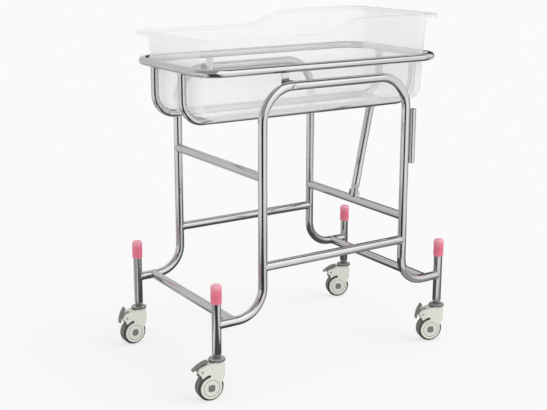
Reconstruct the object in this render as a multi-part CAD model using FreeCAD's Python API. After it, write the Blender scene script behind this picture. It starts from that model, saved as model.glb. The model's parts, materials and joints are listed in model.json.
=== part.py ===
import FreeCAD, Part
import math
import os

# Hospital bassinet: a tube trolley on four casters, a tilting basket of bent tube on top of it,
# and a clear tub that stands in the basket.
# X runs along the length (head end +X), Y across it (near side -Y), Z up, the floor is Z = 0.
# Lengths in millimetres, angles in degrees.

V = FreeCAD.Vector
X_AXIS = V(1, 0, 0)
Y_AXIS = V(0, 1, 0)
Z_AXIS = V(0, 0, 1)

FULL_TURN = 360.0

# Fits and clearances
RUN_FIT = 0.05          # radial play of a shaft that turns or slides in its bore
BODY_GAP = 0.3          # least gap between parts that move past each other
WELD_GAP = 0.02         # gap under a mouthed tube end, which its weld closes
OPEN_PIVOT_GAP = 1.8    # radial play of the strut's head pin, which takes up the swing of the strut

# Frame
TUBE_R = 12.7
TUBE_WALL = 1.5
UPRIGHT_X = 243.0
FRAME_Y = 238.0
FOOT_REACH = 146.0
FOOT_Z = 207.0
BAR_Z = 829.0
LOW_BEND_R = 80.0
TOP_BEND_R = 95.0
LOW_CROSS_SET = 52.0
RAIL_Z = 343.0
MID_CROSS_FOOT_Z = 590.5
MID_CROSS_HEAD_Z = 414.0

# Caster posts and their caps
POST_BOTTOM_Z = 121.0
POST_TOP_Z = 309.0
POST_END_ROUND = 7.0
POST_PLUG_LEN = 34.0
CAP_BOTTOM_Z = 269.0
CAP_TOP_Z = 321.0
CAP_SKIRT_R = 14.9
CAP_BULB_R = 15.4
CAP_GROOVE_R = 14.3
CAP_GROOVE_Z = 304.0
CAP_GROOVE_W = 3.0
CAP_DOME_R = 9.0

# Socket for an infusion pole, welded to the near upright of the head end
SOCKET_R = 9.0
SOCKET_BORE_R = 7.5
SOCKET_BOTTOM_Z = 574.0
SOCKET_TOP_Z = 732.0
SOCKET_FLOOR = 3.0
SOCKET_TURN = -25.0
SOCKET_SINK = 0.4

# Basket
BASKET_R = 11.1
BASKET_WALL = 1.2
RING_OVERHANG = 152.0
RING_RISE = 42.0
RING_CORNER_R = 66.0
CRADLE_Y = 80.0
CRADLE_DROP = 143.0
CRADLE_BEND_R = 60.0
STRUT_LEAN = 59.0

# Tilt pivots at the foot end of the top bars
PIVOT_SET = 93.0
LUG_W = 22.0
LUG_T = 4.0
LUG_ROUND_R = 11.0
BLOCK_LEN = 18.5
BLOCK_W = 28.0
BLOCK_H = 24.0
BLOCK_ROUND = 4.0
BOLT_R = 4.0
BOLT_HEAD_R = 6.5
BOLT_HEAD_H = 3.5
BOLT_HEAD_ROUND = 1.2
NUT_R = 6.5
NUT_H = 5.0
NUT_SIDES = 6

# Tilt strut
STRUT_R = 12.7
STRUT_BORE_R = 11.2
ROD_R = 10.8
ROD_WALL = 1.5
GLAND_LEN = 10.0
PIN_R = 4.0
PIN_HEAD_R = 6.0
PIN_HEAD_T = 2.0
EAR_T = 3.0
EAR_R = 8.5
EAR_SIDE_GAP = 0.5
FOOT_PIN_RISE = 23.0
FOOT_PIN_LEAD = 3.0
HEAD_PIN_DROP = 22.0
PLUG_LEN = 16.0
FOOT_MOUTH_GAP = 1.5
HEAD_MOUTH_GAP = 5.5
GLAND_DIST = 14.0
ROD_TOP_GAP = 46.8

# Middle of the outline in plan, off the posts' middle because the casters and pedals stick out
OUTLINE_MIDDLE_X = -25.2
OUTLINE_MIDDLE_Y = 6.8

# Tub
TUB_WALL = 3.5
TUB_SEAT_GAP = 0.3
FOOT_RIM_RISE = 86.0
HEAD_RIM_RISE = 38.0
TUB_SLOPE_X0 = -35.0
TUB_SLOPE_X1 = 115.0
TUB_TOP_SET_X = 11.0
TUB_TOP_SET_Y = 16.5
TUB_TAPER_X = 14.0
TUB_TAPER_Y = 13.0
TUB_BASE_CORNER = 45.0
TUB_TOP_CORNER = 58.0
TUB_BASE_ROUND = 34.0
TUB_BASE_STEPS = 6
FLANGE_W_X = 16.0
FLANGE_W_Y = 12.0
FLANGE_CORNER = 30.0
FLANGE_T = 3.0
LIP_DEPTH = 15.0
LIP_T = 3.0

# Caster
WHEEL_R = 37.5
WHEEL_HALF_W = 13.0
TREAD_T = 6.5
TREAD_ROUND = 3.0
TRAIL = 23.0
AXLE_R = 5.0
AXLE_CAP_HALF = 9.0
AXLE_CAP_CORNER = 5.5
AXLE_CAP_T = 2.6
AXLE_CAP_ROUND = 1.2
WHEEL_BOSS_R = 9.0
STEM_R = 5.5
STEM_FOOT_Z = 88.0
STEM_TOP_Z = 151.0
COLLAR_R = 23.0
COLLAR_Z = 108.4
COLLAR_T = 5.6
COLLAR_ROUND = 1.8
COLLAR_BOSS_R = 10.5
COLLAR_BOSS_BEVEL = 1.5
SHELL_HALF_W = 17.5
SHELL_SIDE_T = 3.5
SHELL_TOP_Z = 108.0
SHELL_BACK_X = 16.0
SHELL_BACK_LOW_Z = 67.0
SHELL_SHOULDER_X = -14.0
SHELL_CORNER_R = 6.0
DISC_R = 30.5
DISC_GROOVE_R = 24.0
DISC_GROOVE_W = 2.2
DISC_GROOVE_D = 1.2
SLOT_R = 39.5
SLOT_RIGHT_DEG = 100.0
SLOT_LEFT_DEG = 130.0
DISC_END_DEG = 20.0
POCKET_R = 40.5
NOSE_R = 10.0
NOSE_LOW_DEG = 255.0
PEDAL_X = -49.0
PEDAL_Z = 88.0
PEDAL_PIN_R = 2.5
PEDAL_PIN_HEAD_R = 3.5
PEDAL_PIN_HEAD_T = 0.8
PEDAL_BOSS_R = 7.0
PEDAL_HALF_W = 7.5
PEDAL_SKIRT_T = 2.0
PEDAL_TOP_T = 3.0
PEDAL_WEB_HALF_W = 5.5
PEDAL_CAVITY_HALF_W = 6.5
# Pedal outline about its pin: outer radius and angle, then inner radius and angle, at three places
PEDAL_TIP = (31.5, 50.0, 26.5, 46.0)
PEDAL_MID = (17.5, 100.0, 13.0, 100.0)
PEDAL_TOE = (24.0, 177.0, 19.0, 172.0)
PEDAL_WEB_DEG = 13.0
CAM_HALF_T = 4.0
BRAKE_GAP = 0.6
CAVITY_GAP = 1.4
NOTCH_DEG_0 = 72.0
NOTCH_DEG_1 = 170.0
BRAKE_TRAVEL = 43.0

# Each caster: signs of its post's place, swivel turn, whether its brake is on
CASTERS = (
    ("foot_near", -1, -1, -6.0, False),
    ("foot_far", -1, 1, 2.0, True),
    ("head_near", 1, -1, -19.0, True),
    ("head_far", 1, 1, -20.0, False),
)

# Sizes that follow from the ones above; half sizes of the tub are those of its outer wall
REACH = 60.0
POST_X = UPRIGHT_X + FOOT_REACH
LOW_CROSS_X = POST_X - LOW_CROSS_SET
RING_X = UPRIGHT_X + RING_OVERHANG
RING_Y = FRAME_Y - TUBE_R - BODY_GAP - BLOCK_LEN - LUG_T / 2
STRUT_HEAD_X = UPRIGHT_X + STRUT_LEAN
PIVOT_X = PIVOT_SET - UPRIGHT_X
TUB_TOP_X = RING_X - TUB_TOP_SET_X
TUB_TOP_Y = RING_Y - TUB_TOP_SET_Y
TUB_BASE_X = TUB_TOP_X - TUB_TAPER_X
TUB_BASE_Y = TUB_TOP_Y - TUB_TAPER_Y
FLANGE_X = TUB_TOP_X + FLANGE_W_X
FLANGE_Y = TUB_TOP_Y + FLANGE_W_Y
BAR_X = UPRIGHT_X - TOP_BEND_R
FOOT_X = UPRIGHT_X + LOW_BEND_R
RING_Z = BAR_Z + RING_RISE
CRADLE_X = RING_X
CRADLE_Z = RING_Z - CRADLE_DROP
TUB_FOOT_RIM_Z = RING_Z + FOOT_RIM_RISE
TUB_HEAD_RIM_Z = TUB_FOOT_RIM_Z + HEAD_RIM_RISE
TUB_BASE_Z = CRADLE_Z + BASKET_R + TUB_SEAT_GAP
FOOT_PIN = V(UPRIGHT_X + FOOT_PIN_LEAD, 0, MID_CROSS_HEAD_Z + FOOT_PIN_RISE)
HEAD_PIN = V(STRUT_HEAD_X, 0, CRADLE_Z - HEAD_PIN_DROP)
STRUT_DIR = (HEAD_PIN - FOOT_PIN).normalize()
STRUT_LEN = (HEAD_PIN - FOOT_PIN).Length
HUB = V(-TRAIL, 0, WHEEL_R)
PEDAL_PIVOT = V(PEDAL_X, 0, PEDAL_Z)
CAM_R = (HUB - PEDAL_PIVOT).Length - WHEEL_R - BRAKE_GAP
CAM_DEG = math.degrees(math.atan2(HUB.z - PEDAL_Z, HUB.x - PEDAL_X)) - BRAKE_TRAVEL
PEDAL_CAVITY_R = CAM_R + CAVITY_GAP
SHELL_INNER_W = SHELL_HALF_W - SHELL_SIDE_T


def rod(start, axis, length, radius):
    """Round bar from a start point along an axis."""
    return Part.makeCylinder(radius, length, start, axis)


def tube(start, axis, length, radius, wall):
    """Round tube from a start point along an axis."""
    return rod(start, axis, length, radius).cut(rod(start, axis, length, radius - wall))


def y_rod(center, half_width, radius):
    """Round bar across the object, centred on a point."""
    return rod(center - Y_AXIS * half_width, Y_AXIS, 2 * half_width, radius)


def polar(center, radius, degrees):
    """Point at a radius and angle about a centre, in the XZ plane."""
    turn = math.radians(degrees)
    return center + V(radius * math.cos(turn), 0, radius * math.sin(turn))


def arc(start, middle, end):
    """Circular edge through three points."""
    return Part.Arc(start, middle, end).toShape()


def sweep(path, radius):
    """Solid swept by a circle along a path that starts at its first vertex."""
    first = path.OrderedEdges[0]
    start = path.OrderedVertexes[0].Point
    tangent = first.tangentAt(first.FirstParameter)
    circle = Part.Wire([Part.makeCircle(radius, start, tangent)])
    return path.makePipeShell([circle], True, True)


def bent_tube(path, radius, wall):
    """Tube swept along a path."""
    return sweep(path, radius).cut(sweep(path, radius - wall))


def fuse(shapes):
    """One solid of several that touch."""
    whole = shapes[0]
    for shape in shapes[1:]:
        whole = whole.fuse(shape)
    return whole.removeSplitter()


def slab(outline, half_width):
    """Solid of an outline in the XZ plane, as wide as stated on both sides of it."""
    face = Part.Face(Part.Wire(outline))
    face.translate(Y_AXIS * -half_width)
    return face.extrude(Y_AXIS * (2 * half_width))


def polygon(points):
    """Edges of a closed polygon."""
    return Part.makePolygon(list(points) + [points[0]]).Edges


def mirror_y(shape):
    """The same piece on the other side."""
    return shape.mirror(V(0, 0, 0), Y_AXIS)


def rounded_rectangle(half_x, half_y, corner, z):
    """Closed wire of a rounded rectangle at a height."""
    edges = []
    inner_x = half_x - corner
    inner_y = half_y - corner
    diagonal = corner * math.sqrt(0.5)
    quarters = ((1, 1), (-1, 1), (-1, -1), (1, -1))
    points = []
    for sx, sy in quarters:
        along = V(sx * half_x, sy * inner_y, z)
        across = V(sx * inner_x, sy * half_y, z)
        middle = V(sx * (inner_x + diagonal), sy * (inner_y + diagonal), z)
        ends = (along, middle, across) if sx * sy > 0 else (across, middle, along)
        points.append(ends)
    for index, (start, middle, end) in enumerate(points):
        edges.append(arc(start, middle, end))
        edges.append(Part.makeLine(end, points[(index + 1) % len(points)][0]))
    return Part.Wire(edges)


def export(name, shapes):
    """Write one node, moved so that the origin lies under the middle of the whole outline."""
    shape = shapes[0] if len(shapes) == 1 else Part.makeCompound(shapes)
    shape.translated(V(-OUTLINE_MIDDLE_X, -OUTLINE_MIDDLE_Y, 0)).exportStep("parts/" + name + ".step")


# Frame ------------------------------------------------------------------------------------

def side_frame_path():
    """Centre line of the near side frame: foot, upright, top bar, upright, foot."""
    low = LOW_BEND_R * (1 - math.sqrt(0.5))
    top = TOP_BEND_R * (1 - math.sqrt(0.5))
    edges = []
    left = [
        V(-POST_X, -FRAME_Y, FOOT_Z),
        V(-FOOT_X, -FRAME_Y, FOOT_Z),
        V(-UPRIGHT_X - low, -FRAME_Y, FOOT_Z + low),
        V(-UPRIGHT_X, -FRAME_Y, FOOT_Z + LOW_BEND_R),
        V(-UPRIGHT_X, -FRAME_Y, BAR_Z - TOP_BEND_R),
        V(-UPRIGHT_X + top, -FRAME_Y, BAR_Z - top),
        V(-BAR_X, -FRAME_Y, BAR_Z),
    ]
    right = [V(-point.x, point.y, point.z) for point in left]
    edges.append(Part.makeLine(left[0], left[1]))
    edges.append(arc(left[1], left[2], left[3]))
    edges.append(Part.makeLine(left[3], left[4]))
    edges.append(arc(left[4], left[5], left[6]))
    edges.append(Part.makeLine(left[6], right[6]))
    edges.append(arc(right[6], right[5], right[4]))
    edges.append(Part.makeLine(right[4], right[3]))
    edges.append(arc(right[3], right[2], right[1]))
    edges.append(Part.makeLine(right[1], right[0]))
    return Part.Wire(edges)


def side_frame():
    """Near side frame, its feet mouthed onto the posts and its bar drilled for the pivot bolt."""
    frame = bent_tube(side_frame_path(), TUBE_R, TUBE_WALL)
    for side in (-1, 1):
        post = rod(V(side * POST_X, -FRAME_Y, FOOT_Z - REACH), Z_AXIS, 2 * REACH, TUBE_R + WELD_GAP)
        frame = frame.cut(post)
    return frame.cut(y_rod(V(PIVOT_X, -FRAME_Y, BAR_Z), REACH, BOLT_R + RUN_FIT))


def mouthed_tube(start, end, seat_axis, radius, wall):
    """Tube between the centre lines of two parallel tubes of its own radius, mouthed onto both."""
    axis = (end - start).normalize()
    length = (end - start).Length
    whole = rod(start, axis, length, radius)
    for point in (start, end):
        whole = whole.cut(rod(point - seat_axis * REACH, seat_axis, 2 * REACH, radius + WELD_GAP))
    return whole.cut(rod(start, axis, length, radius - wall))


def cross_tube(x, z, seat_axis):
    """Tube across the trolley, between a near and a far tube that run along an axis."""
    return mouthed_tube(V(x, -FRAME_Y, z), V(x, FRAME_Y, z), seat_axis, TUBE_R, TUBE_WALL)


def low_rail():
    """Near lower rail, between the two uprights of a side frame."""
    start = V(-UPRIGHT_X, -FRAME_Y, RAIL_Z)
    return mouthed_tube(start, V(UPRIGHT_X, -FRAME_Y, RAIL_Z), Z_AXIS, TUBE_R, TUBE_WALL)


def caster_post():
    """Post on the Z axis, plugged and rounded at its lower end round the caster's stem."""
    height = POST_TOP_Z - POST_BOTTOM_Z
    post = rod(V(0, 0, POST_BOTTOM_Z), Z_AXIS, height, TUBE_R)
    low_edges = [e for e in post.Edges if e.BoundBox.ZMax < POST_BOTTOM_Z + POST_END_ROUND]
    post = post.makeFillet(POST_END_ROUND, low_edges)
    hollow_z = POST_BOTTOM_Z + POST_PLUG_LEN
    hollow = rod(V(0, 0, hollow_z), Z_AXIS, height, TUBE_R - TUBE_WALL)
    return post.cut(hollow).cut(rod(V(0, 0, 0), Z_AXIS, hollow_z + REACH, STEM_R))


def post_cap():
    """Rubber bumper cap on the Z axis: a skirt, a groove and a domed head."""
    dome = CAP_DOME_R * (1 - math.sqrt(0.5))
    half_groove = CAP_GROOVE_W / 2
    head_z = CAP_GROOVE_Z + half_groove
    skirt_z = CAP_GROOVE_Z - half_groove
    start = V(0, 0, CAP_BOTTOM_Z)
    outline = Part.makePolygon([
        V(0, 0, CAP_TOP_Z), start, V(CAP_SKIRT_R, 0, CAP_BOTTOM_Z), V(CAP_SKIRT_R, 0, skirt_z),
    ]).Edges
    groove_middle = V(CAP_GROOVE_R, 0, CAP_GROOVE_Z)
    outline.append(arc(V(CAP_SKIRT_R, 0, skirt_z), groove_middle, V(CAP_BULB_R, 0, head_z)))
    outline.append(Part.makeLine(V(CAP_BULB_R, 0, head_z), V(CAP_BULB_R, 0, CAP_TOP_Z - CAP_DOME_R)))
    outline.append(arc(
        V(CAP_BULB_R, 0, CAP_TOP_Z - CAP_DOME_R),
        V(CAP_BULB_R - dome, 0, CAP_TOP_Z - dome),
        V(CAP_BULB_R - CAP_DOME_R, 0, CAP_TOP_Z)))
    outline.append(Part.makeLine(V(CAP_BULB_R - CAP_DOME_R, 0, CAP_TOP_Z), V(0, 0, CAP_TOP_Z)))
    cap = Part.Face(Part.Wire(Part.__sortEdges__(outline))).revolve(V(0, 0, 0), Z_AXIS, FULL_TURN)
    return cap.cut(rod(start, Z_AXIS, POST_TOP_Z - CAP_BOTTOM_Z, TUBE_R))


def pole_socket():
    """Open-topped tube against the near upright of the head end."""
    turn = math.radians(SOCKET_TURN)
    offset = TUBE_R + SOCKET_R - SOCKET_SINK
    x = UPRIGHT_X + offset * math.cos(turn)
    y = -FRAME_Y + offset * math.sin(turn)
    height = SOCKET_TOP_Z - SOCKET_BOTTOM_Z
    socket = rod(V(x, y, SOCKET_BOTTOM_Z), Z_AXIS, height, SOCKET_R)
    socket = socket.cut(rod(V(x, y, SOCKET_BOTTOM_Z + SOCKET_FLOOR), Z_AXIS, height, SOCKET_BORE_R))
    return socket.cut(rod(V(UPRIGHT_X, -FRAME_Y, SOCKET_BOTTOM_Z), Z_AXIS, height, TUBE_R))


# Basket -----------------------------------------------------------------------------------

def basket_ring():
    """Rounded rectangle of tube that surrounds the tub."""
    path = rounded_rectangle(RING_X, RING_Y, RING_CORNER_R, RING_Z)
    return bent_tube(path, BASKET_R, BASKET_WALL)


def cradle_tube():
    """Near cradle tube: down from the ring's foot end, under the tub and up to its head end."""
    bend = CRADLE_BEND_R * (1 - math.sqrt(0.5))
    left = [
        V(-CRADLE_X, -CRADLE_Y, RING_Z),
        V(-CRADLE_X, -CRADLE_Y, CRADLE_Z + CRADLE_BEND_R),
        V(-CRADLE_X + bend, -CRADLE_Y, CRADLE_Z + bend),
        V(-CRADLE_X + CRADLE_BEND_R, -CRADLE_Y, CRADLE_Z),
    ]
    right = [V(-point.x, point.y, point.z) for point in left]
    path = Part.Wire([
        Part.makeLine(left[0], left[1]),
        arc(left[1], left[2], left[3]),
        Part.makeLine(left[3], right[3]),
        arc(right[3], right[2], right[1]),
        Part.makeLine(right[1], right[0]),
    ])
    cradle = bent_tube(path, BASKET_R, BASKET_WALL)
    for side in (-1, 1):
        cradle = cradle.cut(y_rod(V(side * RING_X, -CRADLE_Y, RING_Z), REACH, BASKET_R + WELD_GAP))
    return cradle


def cradle_cross():
    """Tube between the two cradle tubes, over the strut."""
    start = V(STRUT_HEAD_X, -CRADLE_Y, CRADLE_Z)
    return mouthed_tube(start, V(STRUT_HEAD_X, CRADLE_Y, CRADLE_Z), X_AXIS, BASKET_R, BASKET_WALL)


def pivot_lug():
    """Near lug: a flat bar welded under the ring, drilled for the pivot bolt."""
    half = LUG_W / 2
    center = V(PIVOT_X, -RING_Y, BAR_Z)
    bar = slab(polygon([
        V(PIVOT_X - half, 0, BAR_Z), V(PIVOT_X + half, 0, BAR_Z),
        V(PIVOT_X + half, 0, RING_Z), V(PIVOT_X - half, 0, RING_Z),
    ]), LUG_T / 2)
    bar.translate(V(0, -RING_Y, 0))
    lug = bar.fuse(y_rod(center, LUG_T / 2, LUG_ROUND_R)).removeSplitter()
    lug = lug.cut(rod(V(PIVOT_X - REACH, -RING_Y, RING_Z), X_AXIS, 2 * REACH, BASKET_R))
    return lug.cut(y_rod(center, REACH, BOLT_R))


def pivot_block():
    """Near block of dark plastic between the lug and the inner face of the top bar."""
    outer_y = -FRAME_Y + TUBE_R + BODY_GAP
    corner = V(PIVOT_X - BLOCK_W / 2, outer_y, BAR_Z - BLOCK_H / 2)
    block = Part.makeBox(BLOCK_W, BLOCK_LEN, BLOCK_H, corner)
    edges = [e for e in block.Edges if e.BoundBox.YLength > BLOCK_ROUND]
    block = block.makeFillet(BLOCK_ROUND, edges)
    return block.cut(y_rod(V(PIVOT_X, 0, BAR_Z), FRAME_Y, BOLT_R))


def pivot_bolt():
    """Near bolt: head outside the top bar, nut inside the lug."""
    head_y = -FRAME_Y - TUBE_R - BODY_GAP
    nut_y = -RING_Y + LUG_T / 2
    shank = rod(V(PIVOT_X, head_y, BAR_Z), Y_AXIS, nut_y - head_y + NUT_H, BOLT_R)
    head = rod(V(PIVOT_X, head_y - BOLT_HEAD_H, BAR_Z), Y_AXIS, BOLT_HEAD_H, BOLT_HEAD_R)
    outer_edges = [e for e in head.Edges if e.BoundBox.YMax < head_y - BOLT_HEAD_ROUND]
    head = head.makeFillet(BOLT_HEAD_ROUND, outer_edges)
    corners = [polar(V(PIVOT_X, 0, BAR_Z), NUT_R, FULL_TURN * k / NUT_SIDES) for k in range(NUT_SIDES)]
    nut = Part.Face(Part.Wire(polygon(corners))).extrude(Y_AXIS * NUT_H)
    nut.translate(V(0, nut_y, 0))
    return fuse([head, shank, nut])


# Strut ------------------------------------------------------------------------------------

def ears(pin, seat, seat_radius):
    """Pair of ear plates welded to a cross tube, on both sides of the strut."""
    inner = STRUT_R + EAR_SIDE_GAP
    reach = seat - pin
    plates = []
    for side in (-1, 1):
        profile = polygon([
            pin + V(-EAR_R, 0, 0), pin + V(EAR_R, 0, 0),
            pin + V(EAR_R, 0, reach.z), pin + V(-EAR_R, 0, reach.z),
        ])
        plate = slab(profile, EAR_T / 2).fuse(y_rod(pin, EAR_T / 2, EAR_R)).removeSplitter()
        plate = plate.cut(y_rod(seat, REACH, seat_radius)).cut(y_rod(pin, REACH, PIN_R))
        plate = min(plate.Solids, key=lambda solid: abs(solid.CenterOfMass.z - pin.z))
        plate.translate(V(0, side * (inner + EAR_T / 2), 0))
        plates.append(plate)
    return plates


def strut_pin(center):
    """Pin across the strut with a flat head at each end."""
    half = STRUT_R + EAR_SIDE_GAP + EAR_T
    heads = [rod(center + V(0, half, 0), Y_AXIS, PIN_HEAD_T, PIN_HEAD_R)]
    heads.append(rod(center - V(0, half + PIN_HEAD_T, 0), Y_AXIS, PIN_HEAD_T, PIN_HEAD_R))
    return fuse([y_rod(center, half, PIN_R)] + heads)


def strut_tube():
    """Outer part of the strut: a tube on the head pin, mouthed round the cradle's cross tube."""
    start = FOOT_PIN + STRUT_DIR * (GLAND_DIST + GLAND_LEN)
    length = STRUT_LEN - GLAND_DIST - GLAND_LEN
    body = rod(start, STRUT_DIR, length + HEAD_PIN_DROP, STRUT_R)
    body = body.cut(rod(start, STRUT_DIR, length - PLUG_LEN, STRUT_BORE_R))
    body = body.cut(y_rod(V(STRUT_HEAD_X, 0, CRADLE_Z), REACH, BASKET_R + HEAD_MOUTH_GAP))
    body = body.cut(y_rod(HEAD_PIN, REACH, PIN_R + OPEN_PIVOT_GAP))
    return min(body.Solids, key=lambda solid: solid.BoundBox.ZMin)


def strut_gland():
    """Plastic ring at the mouth of the strut's tube, which the rod slides through."""
    start = FOOT_PIN + STRUT_DIR * GLAND_DIST
    return tube(start, STRUT_DIR, GLAND_LEN, STRUT_R, STRUT_R - ROD_R - RUN_FIT)


def strut_rod():
    """Inner part of the strut: a tube on the foot pin that runs far up inside the outer one."""
    start = FOOT_PIN - STRUT_DIR * REACH
    body = rod(start, STRUT_DIR, REACH + STRUT_LEN - ROD_TOP_GAP, ROD_R)
    hollow = FOOT_PIN + STRUT_DIR * PLUG_LEN
    body = body.cut(rod(hollow, STRUT_DIR, STRUT_LEN, ROD_R - ROD_WALL))
    body = body.cut(y_rod(V(UPRIGHT_X, 0, MID_CROSS_HEAD_Z), REACH, TUBE_R + FOOT_MOUTH_GAP))
    body = body.cut(y_rod(FOOT_PIN, REACH, PIN_R + RUN_FIT))
    return max(body.Solids, key=lambda solid: solid.BoundBox.ZMax)


# Tub --------------------------------------------------------------------------------------

def tub_half(z, base, top):
    """Half size of the tub's outer wall at a height, between its base and its high rim."""
    share = (z - TUB_BASE_Z) / (TUB_HEAD_RIM_Z - TUB_BASE_Z)
    return base + (top - base) * share


def tub_block(inset, top_z):
    """Solid block with the tub's tapered walls and rounded base, shrunk by an inset."""
    radius = TUB_BASE_ROUND - inset
    sections = []
    for step in range(TUB_BASE_STEPS + 1):
        turn = math.pi / 2 * step / TUB_BASE_STEPS
        sections.append((TUB_BASE_Z + inset + radius * (1 - math.cos(turn)), radius * (1 - math.sin(turn))))
    sections.append((top_z, 0))
    wires = []
    for z, rounding in sections:
        shrink = inset + rounding
        wires.append(rounded_rectangle(
            tub_half(z, TUB_BASE_X, TUB_TOP_X) - shrink,
            tub_half(z, TUB_BASE_Y, TUB_TOP_Y) - shrink,
            tub_half(z, TUB_BASE_CORNER, TUB_TOP_CORNER) - shrink, z))
    return Part.makeLoft(wires, True, True)


def below_rim(drop):
    """Block that fills everything below the tub's rim line, or a distance below it."""
    low = TUB_FOOT_RIM_Z - drop
    high = TUB_HEAD_RIM_Z - drop
    far = FLANGE_X + REACH
    floor = TUB_BASE_Z - REACH
    third = (TUB_SLOPE_X1 - TUB_SLOPE_X0) / 3
    curve = Part.BezierCurve()
    curve.setPoles([
        V(TUB_SLOPE_X0, 0, low), V(TUB_SLOPE_X0 + third, 0, low),
        V(TUB_SLOPE_X1 - third, 0, high), V(TUB_SLOPE_X1, 0, high),
    ])
    outline = [
        Part.makeLine(V(-far, 0, floor), V(-far, 0, low)),
        Part.makeLine(V(-far, 0, low), V(TUB_SLOPE_X0, 0, low)),
        curve.toShape(),
        Part.makeLine(V(TUB_SLOPE_X1, 0, high), V(far, 0, high)),
        Part.makeLine(V(far, 0, high), V(far, 0, floor)),
        Part.makeLine(V(far, 0, floor), V(-far, 0, floor)),
    ]
    return slab(outline, FLANGE_Y + REACH)


def flange_block(inset):
    """Block with the flange's outline in plan."""
    wire = rounded_rectangle(FLANGE_X - inset, FLANGE_Y - inset, FLANGE_CORNER - inset, TUB_BASE_Z)
    return Part.Face(wire).extrude(Z_AXIS * (TUB_HEAD_RIM_Z - TUB_BASE_Z + REACH))


def tub():
    """Open tub with tapered walls, a rim that climbs to the head end, and a flange with a lip."""
    top_z = TUB_HEAD_RIM_Z + LIP_DEPTH
    outer = tub_block(0, top_z)
    under_rim = below_rim(0)
    rim = flange_block(0).common(under_rim).cut(below_rim(LIP_DEPTH))
    groove = flange_block(LIP_T).common(below_rim(FLANGE_T)).cut(below_rim(LIP_DEPTH + LIP_T))
    shape = outer.common(under_rim).fuse(rim.cut(groove)).cut(tub_block(TUB_WALL, top_z + LIP_DEPTH))
    return shape.removeSplitter()


# Caster, built with its swivel axis on the Z axis and its wheel trailing toward -X ---------

def caster_stem():
    """Stem with the collar that carries the swivel shell."""
    collar = rod(V(0, 0, COLLAR_Z), Z_AXIS, COLLAR_T, COLLAR_R)
    collar = collar.makeFillet(COLLAR_ROUND, [e for e in collar.Edges if e.Closed])
    boss_z = COLLAR_Z + COLLAR_T
    boss = rod(V(0, 0, boss_z), Z_AXIS, POST_BOTTOM_Z - boss_z, COLLAR_BOSS_R)
    top_edges = [e for e in boss.Edges if e.BoundBox.ZMin > boss_z + COLLAR_BOSS_BEVEL]
    boss = boss.makeChamfer(COLLAR_BOSS_BEVEL, top_edges)
    stem = rod(V(0, 0, STEM_FOOT_Z), Z_AXIS, STEM_TOP_Z - STEM_FOOT_Z, STEM_R)
    return fuse([collar, boss, stem])


def shell_outline():
    """Side outline of the swivel shell: hood, nose, curved slot, round leg end and back."""
    shoulder = V(SHELL_SHOULDER_X, 0, SHELL_TOP_Z)
    span = shoulder - PEDAL_PIVOT
    rise = math.degrees(math.atan2(span.z, span.x) - math.asin(NOSE_R / span.Length))
    nose_top = polar(PEDAL_PIVOT, NOSE_R, rise + 90)
    nose_low = polar(PEDAL_PIVOT, NOSE_R, NOSE_LOW_DEG)
    slot_left = polar(HUB, SLOT_R, SLOT_LEFT_DEG)
    slot_right = polar(HUB, SLOT_R, SLOT_RIGHT_DEG)
    disc_start = polar(HUB, DISC_R, SLOT_RIGHT_DEG)
    disc_end = polar(HUB, DISC_R, DISC_END_DEG)
    slot_half = (SLOT_R - DISC_R) / 2
    slot_tip = polar(polar(HUB, DISC_R + slot_half, SLOT_RIGHT_DEG), slot_half, SLOT_RIGHT_DEG - 90)
    corner = V(SHELL_BACK_X - SHELL_CORNER_R, 0, SHELL_TOP_Z - SHELL_CORNER_R)
    back_low = V(SHELL_BACK_X, 0, SHELL_BACK_LOW_Z)
    back_top = V(SHELL_BACK_X, 0, corner.z)
    top_end = V(corner.x, 0, SHELL_TOP_Z)
    return [
        Part.makeLine(shoulder, nose_top),
        arc(nose_top, polar(PEDAL_PIVOT, NOSE_R, 180), nose_low),
        Part.makeLine(nose_low, slot_left),
        arc(slot_left, polar(HUB, SLOT_R, (SLOT_LEFT_DEG + SLOT_RIGHT_DEG) / 2), slot_right),
        arc(slot_right, slot_tip, disc_start),
        arc(disc_start, polar(HUB, DISC_R, (SLOT_RIGHT_DEG + DISC_END_DEG + FULL_TURN) / 2), disc_end),
        Part.makeLine(disc_end, back_low),
        Part.makeLine(back_low, back_top),
        arc(back_top, polar(corner, SHELL_CORNER_R, 45), top_end),
        Part.makeLine(top_end, shoulder),
    ]


def caster_shell():
    """Swivel shell over the wheel, open for the wheel, the brake pedal, the stem and both pins."""
    shell = slab(shell_outline(), SHELL_HALF_W)
    shell = shell.cut(y_rod(HUB, SHELL_INNER_W, POCKET_R))
    shell = shell.cut(rod(V(0, 0, STEM_FOOT_Z - BODY_GAP), Z_AXIS, REACH, STEM_R + RUN_FIT))
    shell = shell.cut(y_rod(PEDAL_PIVOT, PEDAL_CAVITY_HALF_W, PEDAL_CAVITY_R))
    notch = [PEDAL_PIVOT]
    for degrees in (NOTCH_DEG_0, (NOTCH_DEG_0 + NOTCH_DEG_1) / 2, NOTCH_DEG_1):
        notch.append(polar(PEDAL_PIVOT, REACH, degrees))
    shell = shell.cut(slab(polygon(notch), PEDAL_CAVITY_HALF_W))
    shell = shell.cut(y_rod(HUB, REACH, AXLE_R)).cut(y_rod(PEDAL_PIVOT, REACH, PEDAL_PIN_R))
    groove = y_rod(HUB, SHELL_HALF_W, DISC_GROOVE_R).cut(y_rod(HUB, REACH, DISC_GROOVE_R - DISC_GROOVE_W))
    groove = groove.cut(y_rod(HUB, SHELL_HALF_W - DISC_GROOVE_D, REACH))
    return shell.cut(groove)


def caster_wheel():
    """Wheel centre that runs on the axle."""
    core = y_rod(HUB, WHEEL_HALF_W, WHEEL_R - TREAD_T)
    boss = y_rod(HUB, SHELL_INNER_W - BODY_GAP, WHEEL_BOSS_R)
    return fuse([core, boss]).cut(y_rod(HUB, REACH, AXLE_R + RUN_FIT))


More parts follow.
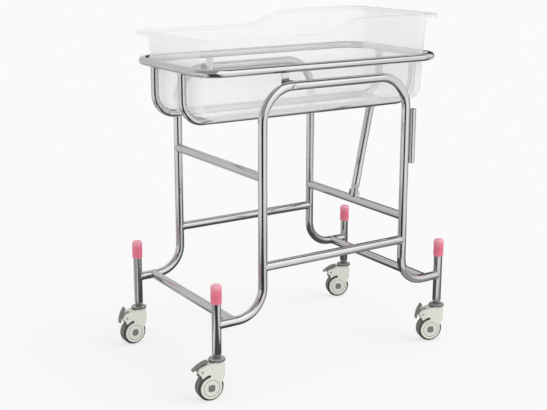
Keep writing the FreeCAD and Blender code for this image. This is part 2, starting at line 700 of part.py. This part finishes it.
def caster_tread():
    """Tyre ring round the wheel centre."""
    tread = y_rod(HUB, WHEEL_HALF_W, WHEEL_R)
    tread = tread.makeFillet(TREAD_ROUND, [e for e in tread.Edges if e.Closed])
    return tread.cut(y_rod(HUB, REACH, WHEEL_R - TREAD_T))


def capped_pin(center, shank_r, head, rounding):
    """Pin through the shell with the same head, rounded off, on each side of it."""
    outer = head.BoundBox.YMax
    edges = [e for e in head.Edges if e.BoundBox.YMin > outer - RUN_FIT]
    rounded = head.makeFillet(rounding, edges)
    return fuse([y_rod(center, SHELL_HALF_W, shank_r), rounded, mirror_y(rounded)])


def wheel_axle():
    """Axle with a square cap of rounded corners on each side."""
    side = 2 * AXLE_CAP_HALF
    low = HUB + V(-AXLE_CAP_HALF, SHELL_HALF_W, -AXLE_CAP_HALF)
    cap = Part.makeBox(side, AXLE_CAP_T, side, low)
    cap = cap.makeFillet(AXLE_CAP_CORNER, [e for e in cap.Edges if e.BoundBox.YLength > AXLE_CAP_T / 2])
    return capped_pin(HUB, AXLE_R, cap, AXLE_CAP_ROUND)


def brake_pin():
    """Pin of the brake pedal with a flat round head on each side."""
    head = rod(PEDAL_PIVOT + V(0, SHELL_HALF_W, 0), Y_AXIS, PEDAL_PIN_HEAD_T, PEDAL_PIN_HEAD_R)
    return capped_pin(PEDAL_PIVOT, PEDAL_PIN_R, head, PEDAL_PIN_HEAD_T / 2)


def pedal_arc(first, trim):
    """Arc of the pedal's outline about its pin, at its outer (0) or inner (2) side, less a trim."""
    points = []
    for place in (PEDAL_TIP, PEDAL_MID, PEDAL_TOE):
        points.append(polar(PEDAL_PIVOT, place[first] - trim, place[first + 1]))
    return points


def pedal_band(outer, inner, half_width):
    """Curved slab between two of the pedal's arcs."""
    return slab([
        arc(*outer), Part.makeLine(outer[2], inner[2]),
        arc(inner[2], inner[1], inner[0]), Part.makeLine(inner[0], outer[0]),
    ], half_width)


def brake_pedal():
    """Pedal with its brake off: a curved plate with side skirts, a web, a boss and a brake cam."""
    outer = pedal_arc(0, 0)
    inner = pedal_arc(2, 0)
    plate = pedal_band(outer, inner, PEDAL_HALF_W)
    under = pedal_band(pedal_arc(0, PEDAL_TOP_T), pedal_arc(2, PEDAL_TOP_T), PEDAL_HALF_W - PEDAL_SKIRT_T)
    plate = plate.cut(under)
    reach = PEDAL_MID[0] - PEDAL_TOP_T / 2
    web = slab(polygon([
        PEDAL_PIVOT,
        polar(PEDAL_PIVOT, reach, PEDAL_MID[1] - PEDAL_WEB_DEG),
        polar(PEDAL_PIVOT, reach, PEDAL_MID[1] + PEDAL_WEB_DEG),
    ]), PEDAL_WEB_HALF_W)
    tip = polar(PEDAL_PIVOT, CAM_R - CAM_HALF_T, CAM_DEG)
    side = polar(V(0, 0, 0), CAM_HALF_T, CAM_DEG + 90)
    cam = slab(polygon([PEDAL_PIVOT - side, PEDAL_PIVOT + side, tip + side, tip - side]), PEDAL_WEB_HALF_W)
    boss = y_rod(PEDAL_PIVOT, PEDAL_WEB_HALF_W, PEDAL_BOSS_R)
    pedal = fuse([plate, web, boss, cam, y_rod(tip, PEDAL_WEB_HALF_W, CAM_HALF_T)])
    return pedal.cut(y_rod(PEDAL_PIVOT, REACH, PEDAL_PIN_R + RUN_FIT))


def placed(shape, sx, sy, turn):
    """Copy of a caster piece, turned on its swivel axis and set under its post."""
    copy = shape.copy()
    copy.rotate(V(0, 0, 0), Z_AXIS, turn)
    copy.translate(V(sx * POST_X, sy * FRAME_Y, 0))
    return copy


# Build ------------------------------------------------------------------------------------

os.makedirs("parts", exist_ok=True)

near_frame = side_frame()
export("side_frame_near", [near_frame])
export("side_frame_far", [mirror_y(near_frame)])
near_rail = low_rail()
export("low_rail_near", [near_rail])
export("low_rail_far", [mirror_y(near_rail)])
export("low_cross_foot", [cross_tube(-LOW_CROSS_X, FOOT_Z, X_AXIS)])
export("low_cross_head", [cross_tube(LOW_CROSS_X, FOOT_Z, X_AXIS)])
export("mid_cross_foot", [cross_tube(-UPRIGHT_X, MID_CROSS_FOOT_Z, Z_AXIS)])
export("mid_cross_head", [cross_tube(UPRIGHT_X, MID_CROSS_HEAD_Z, Z_AXIS)])
export("pole_socket", [pole_socket()])

export("basket_ring", [basket_ring()])
near_cradle = cradle_tube()
export("cradle_tube_near", [near_cradle])
export("cradle_tube_far", [mirror_y(near_cradle)])
export("cradle_cross", [cradle_cross()])
pivot_pieces = {"pivot_lugs": pivot_lug(), "pivot_blocks": pivot_block(), "pivot_bolts": pivot_bolt()}
for node, piece in pivot_pieces.items():
    export(node, [piece, mirror_y(piece)])

export("strut_foot_ears", ears(FOOT_PIN, V(UPRIGHT_X, 0, MID_CROSS_HEAD_Z), TUBE_R))
export("strut_head_ears", ears(HEAD_PIN, V(STRUT_HEAD_X, 0, CRADLE_Z), BASKET_R))
export("strut_foot_pin", [strut_pin(FOOT_PIN)])
export("strut_head_pin", [strut_pin(HEAD_PIN)])
export("strut_rod", [strut_rod()])
export("strut_tube", [strut_tube()])
export("strut_gland", [strut_gland()])

export("tub", [tub()])

post = caster_post()
stem = caster_stem()
shell = caster_shell()
wheel = caster_wheel()
tread = caster_tread()
axle = wheel_axle()
pedal_pin = brake_pin()
pedal = brake_pedal()
caps = []
for corner, sx, sy, turn, braked in CASTERS:
    caps.append(placed(post_cap(), sx, sy, 0))
    export("post_" + corner, [placed(post, sx, sy, 0)])
    export("stem_" + corner, [placed(stem, sx, sy, 0)])
    set_pedal = pedal.copy()
    if braked:
        set_pedal.rotate(PEDAL_PIVOT, Y_AXIS, -BRAKE_TRAVEL)
    pieces = (("shell", shell), ("wheel", wheel), ("tread", tread), ("axle", axle),
              ("pedal_pin", pedal_pin), ("pedal", set_pedal))
    for name, piece in pieces:
        export(name + "_" + corner, [placed(piece, sx, sy, turn)])
export("post_caps", caps)
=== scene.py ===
import json
import math

import bmesh
import bpy
from mathutils import Matrix, Vector


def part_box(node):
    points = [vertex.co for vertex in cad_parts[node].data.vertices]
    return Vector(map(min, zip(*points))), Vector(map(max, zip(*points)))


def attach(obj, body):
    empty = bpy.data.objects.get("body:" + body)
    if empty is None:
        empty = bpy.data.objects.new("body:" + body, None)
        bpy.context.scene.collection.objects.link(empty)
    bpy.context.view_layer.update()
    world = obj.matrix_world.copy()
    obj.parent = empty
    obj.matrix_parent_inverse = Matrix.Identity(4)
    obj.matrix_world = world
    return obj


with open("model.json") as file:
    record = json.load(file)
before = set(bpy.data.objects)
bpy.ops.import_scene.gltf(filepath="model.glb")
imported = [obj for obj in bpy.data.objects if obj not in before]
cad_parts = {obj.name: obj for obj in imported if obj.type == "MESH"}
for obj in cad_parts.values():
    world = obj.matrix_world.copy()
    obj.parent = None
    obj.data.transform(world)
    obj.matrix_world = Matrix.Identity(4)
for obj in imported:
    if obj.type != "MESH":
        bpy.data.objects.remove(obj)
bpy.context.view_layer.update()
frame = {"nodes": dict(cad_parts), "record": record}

NODES = frame["nodes"]
ORIGIN = Vector((0.0252, -0.0068, 0.0))     # where the build's own origin lies in the frame


# Camera, solved from the photo's tube edges ------------------------------------------------

CAMERA_TURN = math.radians(-33.006)
CAMERA_TIP = math.radians(13.291)
CAMERA_ROLL = math.radians(0.097)
CAMERA_PLACE = Vector((-1.67907, -2.5014, 1.22481))
CAMERA_SHIFT_Y = -0.05
FOCAL_PX = 1039.75
PICTURE_W_PX = 547
SENSOR_W = 36.0


def make_camera():
    level = math.cos(CAMERA_TIP)
    back = Vector((math.sin(CAMERA_TURN) * level, -math.cos(CAMERA_TURN) * level,
                   math.sin(CAMERA_TIP)))
    right = Vector((0, 0, 1)).cross(back).normalized()
    up = back.cross(right)
    across = math.cos(CAMERA_ROLL) * right + math.sin(CAMERA_ROLL) * up
    upright = math.cos(CAMERA_ROLL) * up - math.sin(CAMERA_ROLL) * right
    data = bpy.data.cameras.new("camera")
    data.sensor_fit = "HORIZONTAL"
    data.sensor_width = SENSOR_W
    data.lens = FOCAL_PX * SENSOR_W / PICTURE_W_PX
    data.shift_y = CAMERA_SHIFT_Y
    data.clip_start = 0.05
    data.clip_end = 200
    camera = bpy.data.objects.new("camera", data)
    camera.matrix_world = Matrix((across, upright, back)).transposed().to_4x4()
    camera.location = CAMERA_PLACE + ORIGIN
    bpy.context.scene.collection.objects.link(camera)
    bpy.context.scene.camera = camera


make_camera()


# Shader building blocks --------------------------------------------------------------------

def nodes_of(name):
    made = bpy.data.materials.new(name)
    made.use_nodes = True
    tree = made.node_tree
    shader = tree.nodes["Principled BSDF"]
    coords = tree.nodes.new("ShaderNodeTexCoord")
    return made, tree, shader, coords.outputs["Object"]


def noise(tree, where, scale, detail=3.0, rough=0.55, stretch=None):
    if stretch:
        mapping = tree.nodes.new("ShaderNodeMapping")
        mapping.inputs["Scale"].default_value = stretch
        tree.links.new(where, mapping.inputs["Vector"])
        where = mapping.outputs["Vector"]
    node = tree.nodes.new("ShaderNodeTexNoise")
    node.inputs["Scale"].default_value = scale
    node.inputs["Detail"].default_value = detail
    node.inputs["Roughness"].default_value = rough
    tree.links.new(where, node.inputs["Vector"])
    return node.outputs["Fac"]


def ramp(tree, value, stops):
    node = tree.nodes.new("ShaderNodeValToRGB")
    bar = node.color_ramp.elements
    while len(bar) < len(stops):
        bar.new(0.5)
    for element, (place, colour) in zip(bar, stops):
        element.position = place
        element.color = (*colour, 1.0)
    tree.links.new(value, node.inputs["Fac"])
    return node.outputs["Color"]


def spread(tree, value, low, high, start=0.3, stop=0.7):
    """Low to high as the value goes from start to stop."""
    node = tree.nodes.new("ShaderNodeMapRange")
    limits = {"From Min": start, "From Max": stop, "To Min": low, "To Max": high}
    for socket, number in limits.items():
        node.inputs[socket].default_value = number
    tree.links.new(value, node.inputs["Value"])
    return node.outputs["Result"]


def maths(tree, operation, *values):
    """A Math node; each value is a socket or a number."""
    node = tree.nodes.new("ShaderNodeMath")
    node.operation = operation
    for socket, value in zip(node.inputs, values):
        if isinstance(value, (int, float)):
            socket.default_value = value
        else:
            tree.links.new(value, socket)
    return node.outputs["Value"]


def blended(tree, factor, first, second):
    """A colour mix; each colour is a socket or three numbers."""
    mix = tree.nodes.new("ShaderNodeMix")
    mix.data_type = "RGBA"
    tree.links.new(factor, mix.inputs["Factor"])
    for name, value in (("A", first), ("B", second)):
        if isinstance(value, tuple):
            mix.inputs[name].default_value = (*value, 1.0)
        else:
            tree.links.new(value, mix.inputs[name])
    return mix.outputs["Result"]


def put_mixed(tree, factor, first, second, output):
    """Mix two shaders into the surface of the tree's output node."""
    mix = tree.nodes.new("ShaderNodeMixShader")
    tree.links.new(factor, mix.inputs["Fac"])
    tree.links.new(first.outputs[0], mix.inputs[1])
    tree.links.new(second.outputs[0], mix.inputs[2])
    tree.links.new(mix.outputs[0], tree.nodes[output].inputs["Surface"])


def bumped(tree, shader, height, strength, distance):
    node = tree.nodes.new("ShaderNodeBump")
    node.inputs["Strength"].default_value = strength
    node.inputs["Distance"].default_value = distance
    tree.links.new(height, node.inputs["Height"])
    tree.links.new(node.outputs["Normal"], shader.inputs["Normal"])


def scaled(colour, by):
    return tuple(min(1.0, c * by) for c in colour)


def axis_of(tree, vector, axis):
    parts = tree.nodes.new("ShaderNodeSeparateXYZ")
    tree.links.new(vector, parts.inputs["Vector"])
    return parts.outputs[axis]


def facing(tree, axis, start, stop):
    """0 to 1 as the surface's own normal turns toward an axis of the object."""
    coords = tree.nodes.new("ShaderNodeTexCoord")
    along = axis_of(tree, coords.outputs["Normal"], axis)
    return spread(tree, maths(tree, "ABSOLUTE", along), 0.0, 1.0, start, stop)


def painted_corner_shade(tree, distance):
    """1 in narrow corners, where shade is painted in, else 0."""
    node = tree.nodes.new("ShaderNodeAmbientOcclusion")
    node.samples = 8
    node.inputs["Distance"].default_value = distance
    return spread(tree, node.outputs["AO"], 1.0, 0.0, 0.25, 0.85)


def seen_ray(tree):
    """1 for a camera, glossy or transmission ray, else 0."""
    path = tree.nodes.new("ShaderNodeLightPath")
    top = path.outputs["Is Camera Ray"]
    for ray in ("Is Glossy Ray", "Is Transmission Ray"):
        top = maths(tree, "MAXIMUM", top, path.outputs[ray])
    return top


# Materials ---------------------------------------------------------------------------------

CLOUD_SCALE = 9.0               # noise scales of the moulded pieces, per metre
GLOSS_SCALE = 54.0
DIRT_SCALE = 55.0
GRAIN_SCALE = 900.0
GRAIN_DEPTH = 0.0004

STREAK_FADE = (0.742, 0.772)    # heights over which the tub's painted refraction streaks fade out
TUB_TINT = (0.992, 0.992, 0.993)
STREAK_TINT = (0.967, 0.967, 0.971)
TUB_HAZE = (0.11, 0.15)
TUB_EDGE_IOR = 1.38
TUB_EDGE_SHARE = 0.35

CAP_FADE = (0.266, 0.322)       # heights over which the caps' painted highlight pales from side to dome
CAP_MOTTLE = 0.12


def moulded(name, colour, rough, vary=0.06, bump=0.12, metallic=0.0, dirt=None, side=None,
            shade=None):
    """Plastic, rubber or coated metal: cloudy colour, fine grain, uneven gloss.

    dirt: colour of small specks; side: axis, start, stop and colour painted on the faces turned
    that way, as painted light and shade; shade: reach and colour of the painted shade in narrow
    corners.
    """
    made, tree, shader, where = nodes_of(name)
    base = ramp(tree, noise(tree, where, CLOUD_SCALE, 4.0), [
        (0.3, scaled(colour, 1 - vary)), (0.5, colour), (0.72, scaled(colour, 1 + vary))])
    if dirt:
        specks = spread(tree, noise(tree, where, DIRT_SCALE, 6.0, 0.7), 0.0, 1.0, 0.62, 0.78)
        base = blended(tree, specks, base, dirt)
    # Painted light and shade: faces turned toward the axis take another colour.
    if side:
        axis, start, stop, other = side
        base = blended(tree, facing(tree, axis, start, stop), base, other)
    # Painted shade: narrow corners are darkened toward a dark colour.
    if shade:
        distance, dark = shade
        base = blended(tree, painted_corner_shade(tree, distance), base, dark)
    tree.links.new(base, shader.inputs["Base Color"])
    gloss = spread(tree, noise(tree, where, GLOSS_SCALE), rough * 0.82, rough * 1.2)
    tree.links.new(gloss, shader.inputs["Roughness"])
    bumped(tree, shader, noise(tree, where, GRAIN_SCALE, 2.0), bump, GRAIN_DEPTH)
    shader.inputs["Metallic"].default_value = metallic
    return made


def steel(name, colour, rough):
    """Polished stainless tube with a faint drawn grain and handling marks."""
    made, tree, shader, where = nodes_of(name)
    base = ramp(tree, noise(tree, where, 5.0, 5.0, 0.6), [
        (0.3, scaled(colour, 0.93)), (0.5, colour), (0.7, scaled(colour, 1.04))])
    tree.links.new(base, shader.inputs["Base Color"])
    grain = noise(tree, where, 260.0, 4.0, 0.7, (1.0, 1.0, 0.25))
    gloss = spread(tree, grain, rough * 0.75, rough * 1.3)
    tree.links.new(gloss, shader.inputs["Roughness"])
    bumped(tree, shader, grain, 0.05, 0.0002)
    shader.inputs["Metallic"].default_value = 1.0
    return made


def clear_plastic():
    """Clear moulded tub: a faint milky haze, darker streaks painted by the base for its
    refraction, gloss at its edges.
    """
    made, tree, shader, where = nodes_of("clear_tub")
    cloud = noise(tree, where, 4.0, 2.0)
    base = ramp(tree, cloud, [(0.3, (0.96, 0.96, 0.97)), (0.7, (0.99, 0.99, 0.995))])
    tree.links.new(base, shader.inputs["Base Color"])
    gloss = spread(tree, noise(tree, where, 14.0, 2.0), 0.05, 0.11)
    tree.links.new(gloss, shader.inputs["Roughness"])
    bumped(tree, shader, noise(tree, where, 7.0, 1.0), 0.03, 0.002)
    shader.inputs["Specular IOR Level"].default_value = 0.15
    # Painted refraction: streaky darker tint in the transparent part near the base.
    low = spread(tree, axis_of(tree, where, "Z"), 1.0, 0.0, *STREAK_FADE)
    refraction_streak_noise = noise(tree, where, 30.0, 4.0, 0.65, (0.12, 1.6, 1.6))
    streaks = maths(tree, "MULTIPLY", low, spread(tree, refraction_streak_noise, 0.0, 1.0, 0.44, 0.64))
    through = tree.nodes.new("ShaderNodeBsdfTransparent")
    tree.links.new(blended(tree, streaks, TUB_TINT, STREAK_TINT), through.inputs["Color"])
    edge = tree.nodes.new("ShaderNodeFresnel")
    edge.inputs["IOR"].default_value = TUB_EDGE_IOR
    glint = maths(tree, "MULTIPLY", edge.outputs["Fac"], TUB_EDGE_SHARE)
    share = maths(tree, "ADD", spread(tree, cloud, *TUB_HAZE), glint)
    put_mixed(tree, share, through, shader, "Material Output")
    return made


def cap_rubber():
    """Pink rubber, painted paler toward the dome's top as a highlight from above."""
    made, tree, shader, where = nodes_of("pink_rubber")
    height = spread(tree, axis_of(tree, where, "Z"), 0.0, 1.0, *CAP_FADE)
    mottled = maths(tree, "MULTIPLY_ADD", noise(tree, where, 120.0), CAP_MOTTLE, height)
    # Painted highlight: the colour pales with height toward the dome.
    base = ramp(tree, mottled, [
        (0.05, (0.85, 0.21, 0.30)), (0.55, (0.83, 0.16, 0.25)), (0.78, (0.87, 0.25, 0.35)),
        (1.0, (0.90, 0.40, 0.49))])
    tree.links.new(base, shader.inputs["Base Color"])
    gloss = spread(tree, noise(tree, where, 60.0), 0.38, 0.55)
    tree.links.new(gloss, shader.inputs["Roughness"])
    bumped(tree, shader, noise(tree, where, 700.0), 0.15, GRAIN_DEPTH)
    shader.inputs["Subsurface Weight"].default_value = 0.15
    shader.inputs["Subsurface Radius"].default_value = (0.006, 0.002, 0.002)
    shader.inputs["Subsurface Scale"].default_value = 1.0
    return made


FINISH = {
    "steel_tube": steel("steel_tube", (0.63, 0.63, 0.62), 0.12),
    "clear_tub": clear_plastic(),
    "pink_rubber": cap_rubber(),
    # Cream shell: the dark colour in narrow corners and slots is painted shade.
    "cream_plastic": moulded(
        "cream_plastic", (0.82, 0.82, 0.745), 0.38, vary=0.03, dirt=(0.74, 0.73, 0.65),
        shade=(0.006, (0.30, 0.29, 0.25))),
    # Tread: painted shade on the side walls under the shell's disc, and in narrow corners.
    "grey_tread": moulded(
        "grey_tread", (0.17, 0.17, 0.165), 0.62, vary=0.12, bump=0.3, dirt=(0.24, 0.23, 0.21),
        side=("Y", 0.35, 0.8, (0.055, 0.055, 0.052)), shade=(0.012, (0.02, 0.02, 0.02))),
    # Grey plastic: the dark colour in narrow corners is painted shade.
    "grey_plastic": moulded(
        "grey_plastic", (0.20, 0.20, 0.19), 0.5, vary=0.08, bump=0.2,
        shade=(0.004, (0.08, 0.08, 0.075))),
    # Dark collar: painted highlight, faces turned up and down are painted paler.
    "dark_metal": moulded(
        "dark_metal", (0.15, 0.15, 0.145), 0.35, vary=0.1, bump=0.1, metallic=0.3,
        side=("Z", 0.6, 0.95, (0.45, 0.45, 0.44))),
    "bright_fastener": moulded(
        "bright_fastener", (0.64, 0.64, 0.62), 0.32, vary=0.05, bump=0.1, metallic=0.5),
    "guide_plastic": moulded("guide_plastic", (0.50, 0.50, 0.49), 0.35, bump=0.1),
    "black_plastic": moulded(
        "black_plastic", (0.035, 0.035, 0.035), 0.45, vary=0.2, bump=0.2),
}
WELD_FINISH = steel("weld_bead", (0.52, 0.51, 0.48), 0.30)


def dress():
    for part in frame["record"]["subparts"]:
        mesh = NODES[part["node"]].data
        mesh.materials.clear()
        mesh.materials.append(FINISH[part["material_slot"]])


dress()
# The clear tub neither shades nor greys what stands round it.
NODES["tub"].visible_shadow = False
NODES["tub"].visible_diffuse = False


# Weld beads --------------------------------------------------------------------------------

WELD_R = 0.0015
WELD_STEPS = 40
WELD_SIDES = 8
WELD_RIPPLES = 13
RIPPLE_SWELL = 0.12
HORN_SWELL = 0.35               # how thick the bead still is at the horns of the saddle
HORN_GAP = 0.0007               # from a mouthed tube's tip to its seat's centre line
ALL_ROUND = math.pi / 2
UNDER_TUB = math.radians(60)    # the bead under the tub stops short of the tub's floor
AXES = (Vector((1, 0, 0)), Vector((0, 1, 0)), Vector((0, 0, 1)))


def crescent(bead, center, into, seat, radius, reach, side):
    """Half of the bead along the saddle where a mouthed tube meets a tube of its own radius."""
    across = into.cross(seat)
    rings = []
    for step in range(WELD_STEPS + 1):
        turn = reach * (2 * step / WELD_STEPS - 1)
        level = math.cos(turn)
        rise = math.sin(turn)
        point = center + radius * (level * into + side * level * seat + rise * across)
        out = (level * into + side * level * seat + 2 * rise * across).normalized()
        along = (-rise * into - side * rise * seat + level * across).normalized()
        beside = along.cross(out)
        ripple = 1 + RIPPLE_SWELL * math.sin(math.tau * WELD_RIPPLES * step / WELD_STEPS)
        thick = WELD_R * (HORN_SWELL + (1 - HORN_SWELL) * level) * ripple
        ring = []
        for corner in range(WELD_SIDES):
            angle = math.tau * corner / WELD_SIDES
            offset = math.cos(angle) * out + math.sin(angle) * beside
            ring.append(bead.verts.new(point + thick * offset))
        rings.append(ring)
    for first, second in zip(rings, rings[1:]):
        for k in range(WELD_SIDES):
            after = (k + 1) % WELD_SIDES
            face = bead.faces.new((first[k], first[after], second[after], second[k]))
            face.smooth = True
    bead.faces.new(rings[0])
    bead.faces.new(rings[-1])


def box_of(node):
    low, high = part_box(node)
    return Vector(low), Vector(high)


# Each end is the seat's centre, the way into the mouthed tube, the seat's axis, the tubes'
# radius and how far round the bead reaches.

def tube_ends(node, axis, seat, reach=ALL_ROUND):
    """Both ends of a straight mouthed tube."""
    low, high = box_of(node)
    found = []
    for sign, end in ((1, low), (-1, high)):
        center = (low + high) / 2
        center[axis] = end[axis] - sign * HORN_GAP
        found.append((center, sign * AXES[axis], AXES[seat], (high - low)[seat] / 2, reach))
    return found


def foot_ends(side):
    """Where the feet of a side frame meet the caster posts."""
    low, high = box_of("side_frame_" + side)
    radius = (high.y - low.y) / 2
    found = []
    for end, into in (("foot", AXES[0]), ("head", -AXES[0])):
        post_low, post_high = box_of("post_" + end + "_" + side)
        center = (post_low + post_high) / 2
        center.z = low.z + radius
        found.append((center, into, AXES[2], radius, ALL_ROUND))
    return found


def cradle_ends(side):
    """Where a cradle tube meets the basket's ring."""
    low, high = box_of("cradle_tube_" + side)
    ring_low, ring_high = box_of("basket_ring")
    radius = (high.y - low.y) / 2
    found = []
    for x in (low.x + radius, high.x - radius):
        center = Vector((x, (low.y + high.y) / 2, (ring_low.z + ring_high.z) / 2))
        found.append((center, -AXES[2], AXES[1], radius, ALL_ROUND))
    return found


def weld(name, body, ends):
    bead = bmesh.new()
    for center, into, seat, radius, reach in ends:
        for side in (-1, 1):
            crescent(bead, center, into, seat, radius, reach, side)
    bmesh.ops.recalc_face_normals(bead, faces=bead.faces)
    mesh = bpy.data.meshes.new(name)
    bead.to_mesh(mesh)
    bead.free()
    mesh.materials.append(WELD_FINISH)
    piece = bpy.data.objects.new(name, mesh)
    bpy.context.scene.collection.objects.link(piece)
    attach(piece, body)


def welds():
    ends = []
    for side in ("near", "far"):
        ends += tube_ends("low_rail_" + side, 0, 2) + foot_ends(side)
    for end in ("foot", "head"):
        ends += tube_ends("low_cross_" + end, 1, 0) + tube_ends("mid_cross_" + end, 1, 2)
    weld("frame_welds", "frame", ends)
    ends = tube_ends("cradle_cross", 1, 0, UNDER_TUB)
    weld("basket_welds", "basket", ends + cradle_ends("near") + cradle_ends("far"))


welds()


# Floor, cards, world and lamp --------------------------------------------------------------

FLOOR_HALF = 40
FLOOR_WHITE = 0.95
SEEN_WHITE = 0.956              # what the camera, gloss and glass see of floor and world
FLOOR_SEEN_SHARE = 0.72
WORLD_LIGHT = 0.76
KEY_ENERGY = 0.98
KEY_ANGLE = math.radians(50)
KEY_FROM = Vector((0.60, -0.39, 0.90))

# Cards are placed in metres ahead of the part's middle, toward the camera, and right of it.
TO_CAMERA = Vector((-0.545, -0.839, 0))
TO_RIGHT = Vector((0.839, -0.545, 0))
CARD_Z = 0.001                  # cards on the floor
STRIP_Z = 0.002                 # strips on those cards
# Long edges of the sloping cards: ahead and height.
FRONT_EDGE = (2.6, 0.95)
SHOULDER_EDGE = (3.0, 1.6)
ROOF_EDGE = (0.5, 3.6)
LID_EDGE = (0.5, 3.7)
LID_BACK_EDGE = (-1.6, 3.9)


def flat_material(name, colour, glow):
    made = bpy.data.materials.new(name)
    made.use_nodes = True
    tree = made.node_tree
    tree.nodes.remove(tree.nodes["Principled BSDF"])
    shader = tree.nodes.new("ShaderNodeEmission" if glow else "ShaderNodeBsdfDiffuse")
    shader.inputs["Color"].default_value = (*colour, 1.0)
    tree.links.new(shader.outputs[0], tree.nodes["Material Output"].inputs["Surface"])
    return made


def floor_material():
    """White paper floor: camera, gloss and glass see it paler, and it still takes the shadow."""
    made = flat_material("floor", (FLOOR_WHITE,) * 3, False)
    tree = made.node_tree
    glow = tree.nodes.new("ShaderNodeEmission")
    glow.inputs["Color"].default_value = (SEEN_WHITE, SEEN_WHITE, SEEN_WHITE, 1.0)
    share = maths(tree, "MULTIPLY", seen_ray(tree), FLOOR_SEEN_SHARE)
    put_mixed(tree, share, tree.nodes["Diffuse BSDF"], glow, "Material Output")
    return made


def quad(name, corners, material):
    mesh = bpy.data.meshes.new(name)
    mesh.from_pydata(corners, [], [(0, 1, 2, 3)])
    mesh.materials.append(material)
    made = bpy.data.objects.new(name, mesh)
    bpy.context.scene.collection.objects.link(made)
    return made


def card(name, level, *corners):
    """Studio card that only gloss sees; each corner is ahead, right and height."""
    places = [ORIGIN + TO_CAMERA * ahead + TO_RIGHT * right + Vector((0, 0, z))
              for ahead, right, z in corners]
    made = quad(name, places, flat_material(name, (level,) * 3, True))
    made.visible_camera = False
    made.visible_diffuse = False
    made.visible_transmission = False
    made.visible_shadow = False
    made.visible_volume_scatter = False


def lying(name, level, ahead, right, z):
    card(name, level, (ahead[0], right[0], z), (ahead[1], right[0], z),
         (ahead[1], right[1], z), (ahead[0], right[1], z))


def standing(name, level, ahead, right, height):
    card(name, level, (ahead[0], right[0], height[0]), (ahead[1], right[1], height[0]),
         (ahead[1], right[1], height[1]), (ahead[0], right[0], height[1]))


def sloping(name, level, low, high, right):
    card(name, level, (low[0], right[0], low[1]), (low[0], right[1], low[1]),
         (high[0], right[1], high[1]), (high[0], right[0], high[1]))


def stage():
    far = FLOOR_HALF
    quad("floor", [(-far, -far, 0), (far, -far, 0), (far, far, 0), (-far, far, 0)],
         floor_material())
    lying("flag_near", 0.40, (0.0, 0.36), (-0.68, 1.4), CARD_Z)
    lying("flag_behind", 0.12, (-1.1, 0.0), (-0.35, 1.8), CARD_Z)
    lying("flag_behind_left", 0.60, (-3.0, 0.0), (-3.0, -0.35), CARD_Z)
    lying("flag_near_left", 0.42, (0.0, 0.9), (-1.7, -0.68), CARD_Z)
    lying("flag_strip", 0.09, (-0.3, 0.95), (-0.45, 0.2), STRIP_Z)
    lying("flag_far_strip", 0.05, (0.95, 2.4), (-0.85, 0.5), STRIP_Z)
    standing("flag_front", 0.02, (2.4, 2.4), (-1.15, 0.55), (0.0, 0.95))
    sloping("panel_front", 1.15, FRONT_EDGE, SHOULDER_EDGE, (0.3, 6.0))
    sloping("flag_front_left", 0.42, FRONT_EDGE, SHOULDER_EDGE, (-2.5, 0.3))
    standing("flag_right", 0.42, (-1.6, 0.0), (2.0, 2.0), (0.0, 0.7))
    standing("panel_right", 1.15, (0.9, 2.0), (2.2, 1.2), (0.0, 1.2))
    standing("flag_left", 0.74, (-6.0, 2.0), (-5.0, -5.0), (0.0, 5.0))
    standing("flag_back", 0.05, (-3.0, -3.0), (0.1, 2.8), (0.0, 4.0))
    standing("flag_far_left", 0.72, (-3.0, -3.0), (-4.0, 0.1), (0.0, 4.0))
    sloping("panel_top", 1.45, SHOULDER_EDGE, ROOF_EDGE, (0.3, 6.0))
    sloping("flag_high_left", 0.40, SHOULDER_EDGE, ROOF_EDGE, (-6.0, 0.3))
    sloping("flag_top", 0.18, LID_EDGE, LID_BACK_EDGE, (-0.4, 3.5))
    sloping("flag_top_left", 0.50, LID_EDGE, LID_BACK_EDGE, (-4.0, -0.4))


def light():
    world = bpy.data.worlds.new("world")
    bpy.context.scene.world = world
    world.use_nodes = True
    tree = world.node_tree
    background = tree.nodes["Background"]
    shown = tree.nodes.new("ShaderNodeBackground")
    for shader, strength in ((background, WORLD_LIGHT), (shown, SEEN_WHITE)):
        shader.inputs["Color"].default_value = (1, 1, 1, 1)
        shader.inputs["Strength"].default_value = strength
    put_mixed(tree, seen_ray(tree), background, shown, "World Output")
    data = bpy.data.lights.new("key", "SUN")
    data.energy = KEY_ENERGY
    data.angle = KEY_ANGLE
    key = bpy.data.objects.new("key", data)
    key.rotation_mode = "QUATERNION"
    key.rotation_quaternion = KEY_FROM.to_track_quat("Z", "Y")
    bpy.context.scene.collection.objects.link(key)
    key.visible_glossy = False


stage()
light()

scene = bpy.context.scene
scene.view_settings.view_transform = "Standard"

bpy.context.view_layer.update()
